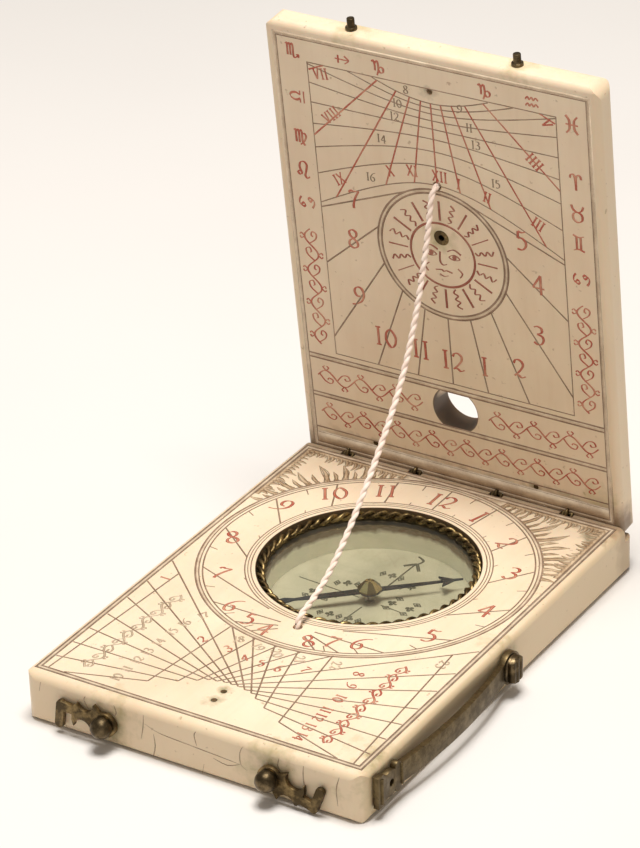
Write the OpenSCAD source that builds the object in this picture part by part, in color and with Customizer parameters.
// Pocket diptych sundial: two ivory leaves on wire hinges, a compass let into the lower
// leaf, a string gnomon between the leaves, two hook catches and a pivoted side arm.
// Origin: centre of the lower leaf's underside. +X right, +Y towards the hinge, +Z up.

/* [Leaves] */
// Width of the lower leaf
leaf_w = 63; // [56:0.5:80]
// Length of the lower leaf, front to back
leaf_l = 88; // [82:0.5:110]
// Thickness of the lower leaf
leaf_t = 9; // [8.6:0.1:14]
// Inset of the upper leaf's sides from the lower leaf's
lid_inset = 0.7; // [0:0.1:2]
// How far the upper leaf's free edge stops short of the lower leaf's front
lid_short = 1; // [0:0.1:1.5]
// Thickness of the upper leaf
lid_t = 4.8; // [4:0.1:7]
// Opening angle between the leaves, as posed
lid_open = 84; // [0:1:90]
// Radius of the leaves' upright corners
corner_r = 2.5; // [1.8:0.1:4]
// Radius of the lower leaf's long edges
edge_r = 1.4; // [0.6:0.1:2]
// Radius of the upper leaf's outer edges
lid_edge_r = 1.2; // [0.6:0.1:1.6]
// Radius of the upper leaf's inner edges
lid_inner_r = 1.1; // [0.4:0.1:1.6]
// Depth of the rebate behind the hinge line
rebate_l = 3.5; // [3:0.1:6]
// Drop of the rebate below the dial face
rebate_drop = 2.6; // [2:0.1:3.5]

/* [Compass] */
// Distance from the hinge line forward to the compass centre
compass_from_hinge = 30.4; // [28:0.1:34]
// Diameter of the compass opening
opening_d = 37.4; // [30:0.1:41]
// Width of the ledge that the glass lies on
glass_ledge = 1.6; // [0.8:0.1:3]
// Depth of the well's floor below the dial face
well_depth = 7.3; // [6.8:0.1:7.6]
// Thickness of the glass
glass_t = 0.9; // [0.6:0.1:1.2]
// Diameter of each wire of the twisted retaining ring
strand_d = 0.78; // [0.6:0.02:0.9]
// Full twists of the two wires around the ring
ring_twists = 26; // [18:1:32]
// Play between the needle's ends and the wall of the well
needle_play = 1.3; // [0.6:0.1:4]
// Direction of the needle as posed, from +X towards +Y
needle_angle = 42; // [0:1:359]

/* [Gnomon string] */
// Diameter of the string
string_d = 1.1; // [0.8:0.1:1.6]
// Distance of the string's foot in front of the hinge line
foot_from_hinge = 52.5; // [52:0.1:53]
// Height of the string's head above the hinge line
head_from_hinge = 59; // [58.5:0.1:59.5]

/* [Holes in the upper leaf] */
// Diameter of the sight hole over the compass
sight_d = 8.6; // [6:0.1:10]
// Height of the sight hole above the hinge line
sight_from_hinge = 15.1; // [12:0.1:18]
// Height of the vane bush above the hinge line
bush_from_hinge = 49.1; // [44:0.1:53]
// Bore of the vane bush
bush_bore = 1.1; // [0.8:0.1:1.6]
// Height of the upper pin-gnomon hole above the hinge line
top_pin_from_hinge = 76.5; // [70:0.1:79]
// Diameter of the pin-gnomon holes
pin_hole_d = 1.1; // [0.8:0.1:1.4]

/* [Hinge wires] */
// Diameter of the hinge wire
hinge_wire_d = 0.62; // [0.5:0.02:0.9]
// Places of the four hinges along the hinge line
hinge_x = [-22.4, -8.9, 7, 20.6];

/* [Hooks] */
// Distance of each hook's pivot from the middle of the front face
hook_x = 15.3; // [12:0.1:20]
// Height of the hooks' pivots above the base
hook_z = 4.3; // [4.2:0.1:4.6]
// Thickness of the hooks
hook_t = 0.8; // [0.6:0.1:1.2]
// Direction of the left hook as posed, from +X towards +Z
left_hook_angle = 172; // [90:1:185]
// Direction of the right hook as posed, from +X towards +Z
right_hook_angle = -21; // [-21:1:90]
// Diameter of the studs that the hooks catch
stud_d = 1.3; // [1:0.1:1.5]

/* [Side arm] */
// Distance of the arm's pivot behind the middle of the leaf
arm_pivot_y = -0.5; // [-4:0.1:6]
// Height of the arm's pivot above the base
arm_z = 4.9; // [4.2:0.1:5.4]
// Reach of the arm from its pivot to its front end
arm_l = 41; // [30:0.1:41]
// Height of the arm's bar
arm_bar_h = 3.6; // [2.4:0.1:4]
// How far the bar bows out from the leaf
arm_bow = 1.2; // [0.6:0.1:1.8]

/* [Hidden] */

// Fits and small clearances
fixed_clear = 0.02;   // round a pin that is driven in
running_clear = 0.06; // round a pin that turns
face_gap = 0.1;       // between the closed leaves
side_gap = 0.3;       // between the leaves' side and the arm
hook_gap = 0.35;      // between the front face and the hooks
catch_gap = 0.1;      // round a stud in a hook's bay
wire_gap = 0.2;       // between a hinge eye and the staple's legs
notch_gap = 0.15;     // round the wires in their notches
stop_gap = 0.2;       // under the heel of the upright leaf
over = 1;             // how far a cut runs past a face

front_y = -leaf_l / 2;
hinge_y = leaf_l / 2 - rebate_l;
lid_l = hinge_y - front_y;
heel = rebate_drop - stop_gap;
heel_r = min(2, lid_t / 2);
lid_reach = lid_l - lid_short;
side_x = leaf_w / 2;
lid_w = leaf_w - 2 * lid_inset;

// Compass stack, downward from the dial face
compass_y = hinge_y - compass_from_hinge;
well_d = opening_d - 2 * glass_ledge;
needle_l = well_d - 2 * needle_play;
ring_sink = 0.1;
strand_lift = strand_d / 2 + fixed_clear;
bundle_r = strand_lift + strand_d / 2;
ring_z = leaf_t - ring_sink - bundle_r;
ring_r = opening_d / 2 - bundle_r - fixed_clear;
glass_top = ring_z - bundle_r - fixed_clear;
glass_seat = glass_top - glass_t;
card_t = 0.3;
card_z = leaf_t - well_depth;
card_top = card_z + card_t;
needle_t = 0.35;
needle_z = card_top + 1.9;
cap_top = glass_seat - 0.5;
cap_bore_d = 1.2;
cap_roof = 0.8;
cap_base_d = 4.2;
cap_stem_d = 1.8;
pivot_d = 0.8;
pivot_tip_d = 0.16;

// String and its pegs
peg_d = string_d + 0.5;
peg_sink = 1.2;

// Upper leaf fittings
bush_d = 2.8;
pin_hole_depth = 2.8;
front_pin_y = [front_y + 7.4, front_y + 10.2];
leaf_pin_d = 1;
leaf_pins_at = [[-16.7, 3.7], [14.7, 3.6]];

// Hinge wires
hinge_r = hinge_wire_d / 2;
eye_r = hinge_r + running_clear + hinge_r;
notch_r = eye_r + hinge_r + notch_gap;
staple_half = hinge_wire_d + wire_gap;
notch_half = staple_half + hinge_r + notch_gap;
staple_leg = 5.5;
eye_shank = 5.6;
eye_lean = 32;

// Catches
stud_h = lid_short + hook_gap + hook_t - catch_gap;
stud_depth = 4;
stud_z = lid_t / 2;
hook_bore_d = 1.5;
hook_pin_d = hook_bore_d - 2 * running_clear;
hook_pin_depth = 6;
bay_floor = 0.8;
stud_up = leaf_t + stud_z - hook_z;
bay_w = bay_floor + catch_gap + stud_d / 2;
bay_u = sqrt(pow(stud_up, 2) - pow(bay_w, 2));
bay_in = bay_u - stud_d / 2 - catch_gap;
bay_out = bay_u + stud_d / 2 + catch_gap;
prong_w = 1.5;
prong_l = 4.3;
cusp_x = 2.3;
waist_x = (cusp_x + bay_in - 0.45) / 2;
waist_r = waist_x - cusp_x - 0.1;

// Side arm
arm_t = 1;
arm_eye_d = 5.6;
arm_bore_d = 1.7;
arm_pin_d = arm_bore_d - 2 * running_clear;
arm_pin_depth = 7;
arm_plate_l = 7.6;
arm_plate_h = 5.6;
arm_hole_d = 1.3;

// Route of the slack string in the plane x = 0, from its foot up to its head: [behind the
// hinge line, above the dial face]
string_route = [[-52.5, -1.2], [-52.5, 0.4], [-51.9, 1.4], [-50.7, 1.9], [-48, 2.6], [-45, 3.7],
                [-41.5, 5.6], [-37.5, 8.6], [-33.5, 12.1], [-29.5, 16], [-25.5, 20.3], [-21.5, 25],
                [-18.1, 29.8], [-15.3, 35], [-12.9, 40.6], [-11, 46], [-9.5, 51], [-8.6, 54.6],
                [-8.1, 56.8], [-7.5, 58], [-6.5, 58.6], [-5, 58.8]];

function unit(v) = v / norm(v);

// Ring of points round p, square to the direction along, starting towards side
function hoop(p, along, side, r, sides) =
    let (a = unit(along), s = unit(side - (side * a) * a), b = cross(a, s))
    [for (k = [0 : sides - 1]) p + r * (cos(360 * k / sides) * s + sin(360 * k / sides) * b)];

function run_at(path, i) = path[min(i + 1, len(path) - 1)] - path[max(i - 1, 0)];

// Round cut from just outside a face down to a depth
module bore(d, depth) {
    translate([0, 0, -over]) cylinder(d = d, h = depth + over, $fn = 64);
}

// Closed tube along a path, with one side vector for each point of the path
module tube(path, side, r, sides) {
    n = len(path);
    points = [for (i = [0 : n - 1]) each hoop(path[i], run_at(path, i), side[i], r, sides)];
    wall = [for (i = [0 : n - 2], k = [0 : sides - 1])
            let (a = i * sides + k, b = i * sides + (k + 1) % sides)
            each [[a, a + sides, b], [b, a + sides, b + sides]]];
    first = [for (k = [1 : sides - 2]) [0, k, k + 1]];
    last = [for (k = [1 : sides - 2]) [(n - 1) * sides, (n - 1) * sides + k + 1, (n - 1) * sides + k]];
    polyhedron(points, concat(wall, first, last), convexity = 10);
}

// Puts what is drawn for the closed upper leaf (hinge axis at the origin) at its opening angle
module on_lid() {
    translate([0, hinge_y, leaf_t]) rotate([-lid_open, 0, 0]) children();
}

// Rectangle with its own radius at each corner, from bottom left anticlockwise
module profile(w, h, radii) {
    difference() {
        square([w, h]);
        corner_waste(radii[0]);
        translate([w, 0]) rotate(90) corner_waste(radii[1]);
        translate([w, h]) rotate(180) corner_waste(radii[2]);
        translate([0, h]) rotate(270) corner_waste(radii[3]);
    }
}

module corner_waste(r) {
    if (r > 0) difference() {
        translate([-over, -over]) square(r + over);
        translate([r, r]) circle(r, $fn = 48);
        translate([-2 * over, r]) square([r + 3 * over, 2 * over]);
        translate([r, -2 * over]) square([2 * over, r + 3 * over]);
    }
}

// Slab with rounded upright corners and rounded long edges: the side outline is the child
module slab(w, l, t, ends, edges) {
    intersection() {
        translate([-w / 2, 0, 0]) linear_extrude(t) profile(w, l, ends);
        translate([-w / 2, l, 0]) rotate([90, 0, 0]) linear_extrude(l) profile(w, t, edges);
        translate([-w / 2, 0, 0]) rotate([90, 0, 90]) linear_extrude(w) children();
    }
}

module lower_leaf_blank() {
    ledge_t = leaf_t - rebate_drop;
    translate([0, front_y, 0])
        slab(leaf_w, leaf_l, leaf_t, [corner_r, corner_r, corner_r, corner_r],
             [edge_r, edge_r, edge_r, edge_r]) {
            profile(leaf_l, ledge_t, [edge_r, edge_r, edge_r / 2, 0]);
            profile(lid_l, leaf_t, [edge_r, 0, 0, edge_r]);
        }
}

// Notch for one wire hinge, along the hinge axis
module hinge_notch() {
    rotate([0, 90, 0]) cylinder(r = notch_r, h = 2 * notch_half, center = true, $fn = 48);
}

module staple_legs(r) {
    for (s = [-1, 1]) translate([s * staple_half, 0, 0])
        rotate([135, 0, 0]) cylinder(r = r, h = staple_leg, $fn = 32);
}

module eye_shank_rod(r) {
    rotate([90 - eye_lean, 0, 0]) translate([0, 0, eye_r]) cylinder(r = r, h = eye_shank - eye_r, $fn = 32);
}

module lower_leaf() {
    color("antiquewhite") difference() {
        lower_leaf_blank();
        translate([0, compass_y, glass_seat]) cylinder(d = opening_d, h = leaf_t, $fn = 96);
        translate([0, compass_y, card_z]) cylinder(d = well_d, h = leaf_t, $fn = 96);
        translate([0, hinge_y - foot_from_hinge, 0]) bore(peg_d, leaf_t + over);
        for (y = front_pin_y) translate([0, y, leaf_t]) rotate([180, 0, 0])
            bore(pin_hole_d, pin_hole_depth);
        for (x = hinge_x) translate([x, hinge_y, leaf_t]) {
            hinge_notch();
            staple_legs(hinge_r + fixed_clear);
        }
        for (x = [-hook_x, hook_x]) translate([x, front_y, hook_z])
            rotate([-90, 0, 0]) bore(hook_pin_d + 2 * fixed_clear, hook_pin_depth);
        translate([side_x, arm_pivot_y, arm_z]) rotate([0, -90, 0])
            bore(arm_pin_d + 2 * fixed_clear, arm_pin_depth);
    }
}

module upper_leaf_blank() {
    translate([0, -lid_reach, face_gap])
        slab(lid_w, lid_reach + heel, lid_t - face_gap, [corner_r, corner_r, edge_r, edge_r],
             [lid_inner_r, lid_inner_r, lid_edge_r, lid_edge_r])
            profile(lid_reach + heel, lid_t - face_gap, [lid_inner_r, 0, heel_r, lid_edge_r]);
}

// A round cut or fitting through the upper leaf, at a height above the hinge line
module at_height(v, x = 0) {
    translate([x, -v, 0]) children();
}

module upper_leaf() {
    color("antiquewhite") on_lid() difference() {
        upper_leaf_blank();
        at_height(sight_from_hinge) bore(sight_d, lid_t + over);
        at_height(bush_from_hinge) bore(bush_d, lid_t + over);
        at_height(head_from_hinge) bore(peg_d, lid_t + over);
        at_height(top_pin_from_hinge) bore(pin_hole_d, pin_hole_depth);
        for (p = leaf_pins_at) at_height(p[1], p[0]) bore(leaf_pin_d, lid_t + over);
        for (x = hinge_x) translate([x, 0, 0]) {
            hinge_notch();
            eye_shank_rod(hinge_r + fixed_clear);
        }
        for (x = [-hook_x, hook_x]) translate([x, -lid_reach - over, stud_z])
            rotate([-90, 0, 0]) cylinder(d = stud_d, h = stud_depth + over, $fn = 32);
    }
}

module compass_card() {
    color("honeydew") translate([0, compass_y, card_z]) difference() {
        cylinder(d = well_d - 2 * fixed_clear, h = card_t, $fn = 96);
        bore(pivot_d, card_t + over);
    }
}

// Steel point that the needle turns on, with a collar on the card
module needle_pivot() {
    tip = cap_top - cap_roof - 0.02;
    color("silver") translate([0, compass_y, 0]) rotate_extrude($fn = 48)
        polygon([[0, card_z], [pivot_d / 2, card_z], [pivot_d / 2, card_top], [0.9, card_top],
                 [0.9, card_top + 0.3], [pivot_d / 2, card_top + 0.5], [pivot_d / 2, needle_z],
                 [pivot_tip_d / 2, tip - 0.05], [0, tip]]);
}

// Flat plate of one thickness, one outline for each child
module plate(t) {
    for (i = [0 : $children - 1]) linear_extrude(t) children(i);
}

// Blued needle: arrow head to the north, waisted tail to the south
module compass_needle() {
    half = needle_l / 2;
    head = half - 3.4;
    neck = half - 1.6;
    waist = half * 0.8;
    belly = half * 0.55;
    color("midnightblue") translate([0, compass_y, needle_z]) rotate(needle_angle) difference() {
        plate(needle_t) {
            polygon([[0, 0.55], [head, 0.3], [head - 0.5, 1.9], [neck, 0.35], [half, 0.12],
                     [half, -0.12], [neck, -0.35], [head - 0.5, -1.9], [head, -0.3], [0, -0.55]]);
            polygon([[0, 0.55], [-belly, 1], [-waist, 0.3], [-neck, 1.2], [-half, 0.5],
                     [-half, -0.5], [-neck, -1.2], [-waist, -0.3], [-belly, -1], [0, -0.55]]);
            circle(d = cap_base_d - 0.6, $fn = 48);
        }
        bore(cap_stem_d + 2 * fixed_clear, needle_t + over);
    }
}

// Eight-sided brass cap, bored from below to sit on the point
module needle_cap() {
    base = needle_z + needle_t;
    step = 0.35;
    color("goldenrod") translate([0, compass_y, 0]) difference() {
        union() {
            translate([0, 0, needle_z]) cylinder(d = cap_stem_d, h = needle_t, $fn = 48);
            translate([0, 0, base]) rotate(needle_angle + 22.5) cylinder(d = cap_base_d, h = step, $fn = 8);
            translate([0, 0, base + step]) rotate(needle_angle + 22.5)
                cylinder(d1 = cap_base_d, d2 = cap_bore_d + 0.5, h = cap_top - base - step, $fn = 8);
        }
        translate([0, 0, needle_z]) bore(cap_bore_d, cap_top - cap_roof - needle_z);
    }
}

module compass_glass() {
    color("lightcyan") translate([0, compass_y, glass_seat])
        cylinder(d = opening_d - 2 * fixed_clear, h = glass_t, $fn = 96);
}

// Two wires twisted together and sprung into the opening over the glass
module retaining_ring() {
    split = 1.2;
    rings_per_twist = 8;
    steps = ring_twists * rings_per_twist;
    color("darkgoldenrod") translate([0, compass_y, ring_z]) for (strand = [0, 1]) {
        turn = [for (i = [0 : steps]) split / 2 + (360 - split) * i / steps - 90];
        phase = [for (i = [0 : steps]) 360 * i / rings_per_twist + 180 * strand];
        outward = [for (i = [0 : steps])
                   [cos(phase[i]) * cos(turn[i]), cos(phase[i]) * sin(turn[i]), sin(phase[i])]];
        path = [for (i = [0 : steps])
                [ring_r * cos(turn[i]), ring_r * sin(turn[i]), 0] + strand_lift * outward[i]];
        tube(path, outward, strand_d / 2, 6);
    }
}

module gnomon_string() {
    path = [for (p = string_route) [0, p[0], p[1]]];
    color("mistyrose") translate([0, hinge_y, leaf_t])
        tube(path, [for (p = path) [1, 0, 0]], string_d / 2, 8);
}

// Bone peg under the string's foot
module string_foot_peg() {
    color("ivory") translate([0, hinge_y - foot_from_hinge, 0.3])
        cylinder(d = peg_d - 2 * fixed_clear, h = leaf_t - peg_sink - 0.3, $fn = 32);
}

module string_head_peg() {
    color("ivory") on_lid() at_height(head_from_hinge) translate([0, 0, peg_sink])
        cylinder(d = peg_d - 2 * fixed_clear, h = lid_t - peg_sink - 0.2, $fn = 32);
}

// Brass bush through the upper leaf, which takes the foot of a loose vane
module vane_bush() {
    color("darkgoldenrod") on_lid() at_height(bush_from_hinge) difference() {
        translate([0, 0, face_gap]) cylinder(d = bush_d - 2 * fixed_clear, h = lid_t - face_gap, $fn = 48);
        bore(bush_bore, lid_t + over);
    }
}

// Wire staples of the lower leaf: the crowns lie on the hinge axis
module hinge_staples() {
    color("darkgoldenrod") for (x = hinge_x) translate([x, hinge_y, leaf_t]) {
        rotate([0, 90, 0]) cylinder(r = hinge_r, h = 2 * staple_half, center = true, $fn = 32);
        for (s = [-1, 1]) translate([s * staple_half, 0, 0]) sphere(r = hinge_r, $fn = 32);
        staple_legs(hinge_r);
    }
}

// Wire eyes of the upper leaf, hooked round the staples
module hinge_eyes() {
    color("darkgoldenrod") on_lid() for (x = hinge_x) translate([x, 0, 0]) {
        rotate([0, 90, 0]) rotate_extrude($fn = 48) translate([eye_r, 0]) circle(hinge_r, $fn = 32);
        eye_shank_rod(hinge_r);
    }
}

// Small pins that lock the hinge wires in the upper leaf
module leaf_pins() {
    color("darkolivegreen") on_lid() for (p = leaf_pins_at) at_height(p[1], p[0])
        translate([0, 0, face_gap])
            cylinder(d = leaf_pin_d - 2 * fixed_clear, h = lid_t - face_gap, $fn = 32);
}

// Studs on the upper leaf's free edge, each with a collar at its foot
module catch_studs() {
    collar_d = stud_d + 0.7;
    collar_h = 0.5;
    color("saddlebrown") on_lid() for (x = [-hook_x, hook_x]) translate([x, -lid_reach, stud_z])
        rotate([90, 0, 0]) {
            translate([0, 0, -stud_depth]) cylinder(d = stud_d - 2 * fixed_clear, h = stud_depth, $fn = 32);
            cylinder(d = collar_d, h = collar_h, $fn = 32);
            cylinder(d = stud_d, h = stud_h, $fn = 32);
        }
}

// Hook cut from plate: pivot at the origin, arm along +X, prong turned towards +Y, with two
// points beside the eye and a hollowed waist
module hook_blank() {
    eye_d = 4.2;
    back = 0.75;
    difference() {
        plate(hook_t) {
            circle(d = eye_d, $fn = 48);
            difference() {
                polygon([[1, 1.6], [cusp_x, 2.9], [bay_in - 0.45, 2.7], [bay_in, 1.7], [bay_in, -back],
                         [bay_in - 0.45, -1.5], [cusp_x, -2.7], [1, -1.6]]);
                translate([waist_x, 0.95 + waist_r]) circle(waist_r, $fn = 64);
                translate([waist_x, -0.85 - waist_r]) circle(waist_r, $fn = 64);
            }
            translate([waist_x, -back]) square([bay_out + prong_w / 2 - waist_x, bay_floor + back]);
            translate([bay_out, -back]) square([prong_w * 0.6, prong_l + back - 0.4]);
            translate([bay_out, 0]) square([prong_w, prong_l - prong_w / 2]);
            translate([bay_out + prong_w / 2, -0.1]) circle(d = prong_w, $fn = 32);
            translate([bay_out + prong_w / 2, prong_l - prong_w / 2]) circle(d = prong_w, $fn = 32);
        }
        bore(hook_bore_d, hook_t + over);
    }
}

module hook(x, angle) {
    color("darkgoldenrod") translate([x, front_y - hook_gap, hook_z])
        rotate([0, -angle, 0]) rotate([90, 0, 0]) hook_blank();
}

// Ball-headed pin of a hook, turned in one piece, with a shoulder against the leaf
module hook_pin(x) {
    neck = hook_gap + hook_t + 0.1;
    ball_r = 1.8;
    ball_at = neck + ball_r * 0.4;
    color("peru") translate([x, front_y, hook_z]) rotate([90, 0, 0]) {
        translate([0, 0, -hook_pin_depth]) cylinder(d = hook_pin_d, h = hook_pin_depth + neck, $fn = 32);
        cylinder(d = hook_bore_d + 1, h = hook_gap - running_clear, $fn = 48);
        difference() {
            translate([0, 0, ball_at]) sphere(ball_r, $fn = 48);
            translate([0, 0, neck - 2 * ball_r]) cylinder(r = ball_r, h = 2 * ball_r, $fn = 48);
        }
    }
}

module left_hook() { hook(-hook_x, left_hook_angle); }
module left_hook_pin() { hook_pin(-hook_x); }
module right_hook() { hook(hook_x, right_hook_angle); }
module right_hook_pin() { hook_pin(hook_x); }

// The arm's front plate: pivot at the origin, front end at -arm_l, lobed where it meets the bar
module arm_plate() {
    waist = arm_bar_h / 2;
    end = -arm_l;
    difference() {
        plate(arm_t) {
            translate([end, -arm_plate_h / 2]) square([2.6, arm_plate_h]);
            translate([end + 3.6, 0]) circle(d = arm_plate_h - 1, $fn = 48);
            translate([end + 5.9, waist]) circle(r = 0.9, $fn = 32);
            translate([end + 5.9, -waist]) circle(r = 0.9, $fn = 32);
            translate([end + 3, -waist]) square([arm_plate_l - 3, 2 * waist]);
        }
        for (s = [-1, 1]) translate([end + 2.3, s * arm_plate_h / 2, -over])
            cylinder(r = 0.6, h = arm_t + 2 * over, $fn = 32);
        translate([end + 3.9, 0, 0]) bore(arm_hole_d, arm_t + over);
    }
}

// Upright beads filed across the outer face of the arm's front plate
module arm_beads() {
    bead_r = 0.32;
    for (b = [[1, arm_plate_h - 1.2], [6.9, arm_bar_h]]) translate([arm_t, b[0] - arm_l, -b[1] / 2])
        cylinder(r = bead_r, h = b[1], $fn = 32);
}

// The bowed bar, cut from an upright drum wall
module arm_bar() {
    from = arm_l - arm_plate_l + 0.4;
    to = arm_eye_d / 2 - 0.6;
    chord = from - to;
    bow_r = pow(chord, 2) / (8 * arm_bow) + arm_bow / 2;
    intersection() {
        translate([arm_bow - bow_r, -(from + to) / 2, -arm_bar_h / 2]) difference() {
            cylinder(r = bow_r + arm_t, h = arm_bar_h, $fn = 360);
            translate([0, 0, -over]) cylinder(r = bow_r, h = arm_bar_h + 2 * over, $fn = 360);
        }
        translate([0, -from, -arm_bar_h]) cube([arm_bow + arm_t + over, chord, 2 * arm_bar_h]);
    }
}

// Brass arm folded down along the side of the lower leaf
module side_arm() {
    color("darkgoldenrod") translate([side_x + side_gap, arm_pivot_y, arm_z]) difference() {
        union() {
            rotate([90, 0, 90]) arm_plate();
            rotate([0, 90, 0]) cylinder(d = arm_eye_d, h = arm_t, $fn = 64);
            arm_bar();
            arm_beads();
        }
        rotate([0, 90, 0]) bore(arm_bore_d, arm_t + over);
    }
}

// Pivot of the arm, turned in one piece: shoulder, washer and a low domed head filed into ribs
module side_arm_pin() {
    head = side_gap + arm_t + 0.1;
    washer_r = 2.5;
    washer_t = 0.3;
    dome_r = 2.45;
    rib_r = 0.6;
    rib_pitch = 1.1;
    color("peru") translate([side_x, arm_pivot_y, arm_z]) {
        rotate([0, 90, 0]) {
            translate([0, 0, -arm_pin_depth]) cylinder(d = arm_pin_d, h = arm_pin_depth + head, $fn = 32);
            cylinder(d = arm_bore_d + 1, h = side_gap - running_clear, $fn = 48);
            translate([0, 0, head]) cylinder(r = washer_r, h = washer_t, $fn = 48);
        }
        translate([head + washer_t - 0.1, 0, 0]) intersection() {
            sphere(dome_r, $fn = 64);
            union() for (i = [-1 : 1]) translate([rib_r - 0.1, i * rib_pitch, -dome_r])
                cylinder(r = rib_r, h = 2 * dome_r, $fn = 32);
        }
    }
}

lower_leaf();
upper_leaf();
compass_card();
needle_pivot();
compass_needle();
needle_cap();
compass_glass();
retaining_ring();
gnomon_string();
string_foot_peg();
string_head_peg();
vane_bush();
hinge_staples();
hinge_eyes();
leaf_pins();
catch_studs();
left_hook();
left_hook_pin();
right_hook();
right_hook_pin();
side_arm();
side_arm_pin();
